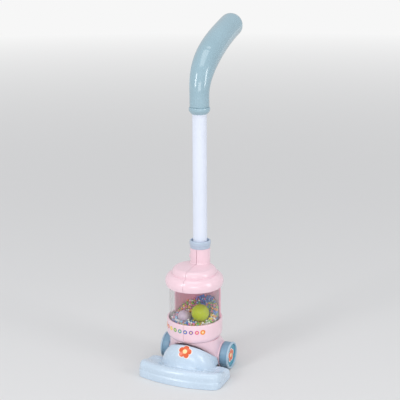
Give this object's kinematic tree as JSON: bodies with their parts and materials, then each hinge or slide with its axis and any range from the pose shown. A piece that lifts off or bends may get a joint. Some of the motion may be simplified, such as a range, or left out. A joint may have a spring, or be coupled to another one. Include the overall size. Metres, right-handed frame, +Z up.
{
  "type": "toy vacuum cleaner",
  "caption": "Toy upright push vacuum: hooded floor head on a tilt hinge, two wheels on an axle geared to an agitator under a clear bead chamber with loose balls, pole and bent grip.",
  "frame": {"origin": "on the floor, under the middle of the toy's outer box with the grip upright", "axes": "+Z up along the pole, -Y to the front of the floor head, +Y to the round end of the grip, +X to the right as seen from the front"},
  "size_m": [0.147, 0.27, 0.587],
  "materials": {
    "body": "satin",
    "window": "gloss",
    "tray": "satin",
    "beads": "matte",
    "green_ball": "gloss",
    "lilac_ball": "gloss",
    "pole": "satin",
    "ring": "satin",
    "grip": "gloss",
    "head": "satin",
    "sole": "satin",
    "wheel": "satin",
    "wheel_cap": "gloss",
    "inner": "matte",
    "steel": "satin"
  },
  "bodies": {
    "floor_head": {"head_cover": "head", "sole_plate": "sole", "hinge_arm_left": "sole", "hinge_arm_right": "sole", "sole_screws": "steel"},
    "upright": {"body_shell_left": "body", "body_shell_right": "body", "window": "window", "bead_tray": "tray", "bead_fill": "beads", "pole": "pole", "neck_ring": "ring", "handle_collar": "grip", "handle_grip": "grip", "neck_screw": "steel", "body_screws": "steel", "axle_bush_left": "inner", "axle_bush_right": "inner", "agitator_bush_left": "inner", "agitator_bush_right": "inner"},
    "axle": {"axle": "steel", "axle_clips": "steel", "wheel_left": "wheel", "wheel_right": "wheel", "wheel_cap_left": "wheel_cap", "wheel_cap_right": "wheel_cap", "axle_gear": "inner"},
    "agitator": {"agitator_shaft": "steel", "agitator_paddle": "inner", "agitator_gear": "inner"},
    "green_ball": {"ball_green": "green_ball"},
    "lilac_ball": {"ball_lilac": "lilac_ball"}
  },
  "joints": [
    {"name": "tilt", "type": "hinge", "parent": "floor_head", "child": "upright", "pos_m": [0, -0.033, 0.023], "axis": [-1, 0, 0], "range_deg": [0, 45]},
    {"name": "axle_spin", "type": "hinge", "parent": "upright", "child": "axle", "pos_m": [0, -0.033, 0.023], "axis": [1, 0, 0], "continuous": true},
    {"name": "agitator_spin", "type": "hinge", "parent": "upright", "child": "agitator", "pos_m": [0, -0.043, 0.04591], "axis": [1, 0, 0], "continuous": true},
    {"name": "green_ball_hop", "type": "slide", "parent": "upright", "child": "green_ball", "axis": [0, 0, 1], "range_m": [0, 0.036]},
    {"name": "lilac_ball_hop", "type": "slide", "parent": "upright", "child": "lilac_ball", "axis": [0, 0, 1], "range_m": [0, 0.036]}
  ],
  "couplings": [
    {"joint": "agitator_spin", "follows": "axle_spin", "ratio": -1.5}
  ]
}
